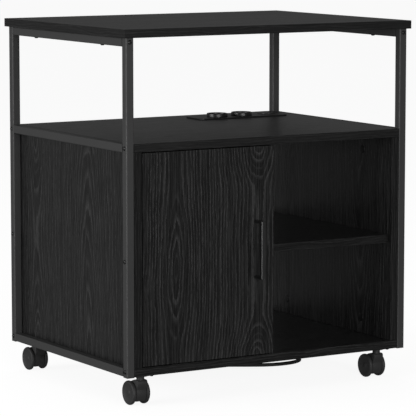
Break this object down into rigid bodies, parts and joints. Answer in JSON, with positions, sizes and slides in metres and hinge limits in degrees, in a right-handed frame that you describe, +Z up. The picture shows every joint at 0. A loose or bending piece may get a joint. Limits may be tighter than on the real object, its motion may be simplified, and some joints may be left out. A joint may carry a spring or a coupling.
{
  "type": "mobile printer stand",
  "caption": "Rolling printer stand: open bay over a cabinet with a hinged door and open-backed shelves, a charging station in its shelf, a mains lead, and swivel casters.",
  "frame": {"origin": "on the floor, under the middle of the stand's bounding box, measured without the mains lead", "axes": "+X to the right along the wide side, +Y from the front to the back, +Z up"},
  "size_m": [0.6, 0.5126, 0.6628],
  "materials": {
    "black_oak": "black oak foil with brushed vertical grain, satin",
    "hardboard": "black hardboard, matt",
    "black_steel": "black powder coat, fine satin texture",
    "plated_steel": "nickel-plated, satin",
    "zinc_plate": "black-passivated zinc plate, satin",
    "black_plastic": "black ABS, satin",
    "caster_plastic": "black nylon, satin",
    "black_rubber": "black PVC, satin"
  },
  "bodies": {
    "carcass": {"top_board": "black_oak", "middle_shelf": "black_oak", "bottom_panel": "black_oak", "left_side_panel": "black_oak", "right_side_panel": "black_oak", "centre_divider": "black_oak", "inner_shelf": "black_oak", "back_panel": "hardboard", "front_left_post": "black_steel", "rear_left_post": "black_steel", "front_right_post": "black_steel", "rear_right_post": "black_steel", "upper_left_rail": "black_steel", "middle_left_rail": "black_steel", "lower_left_rail": "black_steel", "upper_right_rail": "black_steel", "middle_right_rail": "black_steel", "lower_right_rail": "black_steel", "lower_hinge_arm": "plated_steel", "upper_hinge_arm": "plated_steel", "shelf_pin_front_left": "plated_steel", "shelf_pin_rear_left": "plated_steel", "shelf_pin_front_right": "plated_steel", "shelf_pin_rear_right": "plated_steel", "station_housing": "black_plastic", "station_cover": "black_plastic", "left_socket": "black_plastic", "right_socket": "black_plastic", "usb_module": "black_plastic", "strain_relief": "black_rubber", "mains_lead": "black_rubber", "lead_coil": "black_rubber", "mains_plug": "black_rubber", "front_left_caster_plate": "zinc_plate", "front_right_caster_plate": "zinc_plate", "rear_left_caster_plate": "zinc_plate", "rear_right_caster_plate": "zinc_plate"},
    "door": {"door": "black_oak", "door_handle": "black_steel", "lower_hinge_cup": "plated_steel", "upper_hinge_cup": "plated_steel", "lower_handle_screw": "plated_steel", "upper_handle_screw": "plated_steel"},
    "front_left_swivel": {"front_left_caster_hood": "caster_plastic", "front_left_caster_axle": "zinc_plate"},
    "front_left_left_wheel": {"front_left_caster_left_wheel": "caster_plastic"},
    "front_left_right_wheel": {"front_left_caster_right_wheel": "caster_plastic"},
    "front_right_swivel": {"front_right_caster_hood": "caster_plastic", "front_right_caster_axle": "zinc_plate"},
    "front_right_left_wheel": {"front_right_caster_left_wheel": "caster_plastic"},
    "front_right_right_wheel": {"front_right_caster_right_wheel": "caster_plastic"},
    "rear_left_swivel": {"rear_left_caster_hood": "caster_plastic", "rear_left_caster_axle": "zinc_plate"},
    "rear_left_left_wheel": {"rear_left_caster_left_wheel": "caster_plastic"},
    "rear_left_right_wheel": {"rear_left_caster_right_wheel": "caster_plastic"},
    "rear_right_swivel": {"rear_right_caster_hood": "caster_plastic", "rear_right_caster_axle": "zinc_plate"},
    "rear_right_left_wheel": {"rear_right_caster_left_wheel": "caster_plastic"},
    "rear_right_right_wheel": {"rear_right_caster_right_wheel": "caster_plastic"}
  },
  "joints": [
    {"name": "door_hinge", "type": "hinge", "parent": "carcass", "child": "door", "pos_m": [-0.2624, -0.2125, 0.26125], "axis": [0, 0, -1], "range_deg": [0, 110]},
    {"name": "front_left_caster_swivel", "type": "hinge", "parent": "carcass", "child": "front_left_swivel", "pos_m": [-0.2518, -0.1839, 0.045], "axis": [0, 0, 1], "continuous": true},
    {"name": "front_left_left_wheel_roll", "type": "hinge", "parent": "front_left_swivel", "child": "front_left_left_wheel", "pos_m": [-0.2518, -0.1689, 0.02175], "axis": [1, 0, 0], "continuous": true},
    {"name": "front_left_right_wheel_roll", "type": "hinge", "parent": "front_left_swivel", "child": "front_left_right_wheel", "pos_m": [-0.2518, -0.1689, 0.02175], "axis": [1, 0, 0], "continuous": true},
    {"name": "front_right_caster_swivel", "type": "hinge", "parent": "carcass", "child": "front_right_swivel", "pos_m": [0.2518, -0.1839, 0.045], "axis": [0, 0, 1], "continuous": true},
    {"name": "front_right_left_wheel_roll", "type": "hinge", "parent": "front_right_swivel", "child": "front_right_left_wheel", "pos_m": [0.2518, -0.1689, 0.02175], "axis": [1, 0, 0], "continuous": true},
    {"name": "front_right_right_wheel_roll", "type": "hinge", "parent": "front_right_swivel", "child": "front_right_right_wheel", "pos_m": [0.2518, -0.1689, 0.02175], "axis": [1, 0, 0], "continuous": true},
    {"name": "rear_left_caster_swivel", "type": "hinge", "parent": "carcass", "child": "rear_left_swivel", "pos_m": [-0.2518, 0.2029, 0.045], "axis": [0, 0, 1], "continuous": true},
    {"name": "rear_left_left_wheel_roll", "type": "hinge", "parent": "rear_left_swivel", "child": "rear_left_left_wheel", "pos_m": [-0.2518, 0.2179, 0.02175], "axis": [1, 0, 0], "continuous": true},
    {"name": "rear_left_right_wheel_roll", "type": "hinge", "parent": "rear_left_swivel", "child": "rear_left_right_wheel", "pos_m": [-0.2518, 0.2179, 0.02175], "axis": [1, 0, 0], "continuous": true},
    {"name": "rear_right_caster_swivel", "type": "hinge", "parent": "carcass", "child": "rear_right_swivel", "pos_m": [0.2518, 0.2029, 0.045], "axis": [0, 0, 1], "continuous": true},
    {"name": "rear_right_left_wheel_roll", "type": "hinge", "parent": "rear_right_swivel", "child": "rear_right_left_wheel", "pos_m": [0.2518, 0.2179, 0.02175], "axis": [1, 0, 0], "continuous": true},
    {"name": "rear_right_right_wheel_roll", "type": "hinge", "parent": "rear_right_swivel", "child": "rear_right_right_wheel", "pos_m": [0.2518, 0.2179, 0.02175], "axis": [1, 0, 0], "continuous": true}
  ]
}
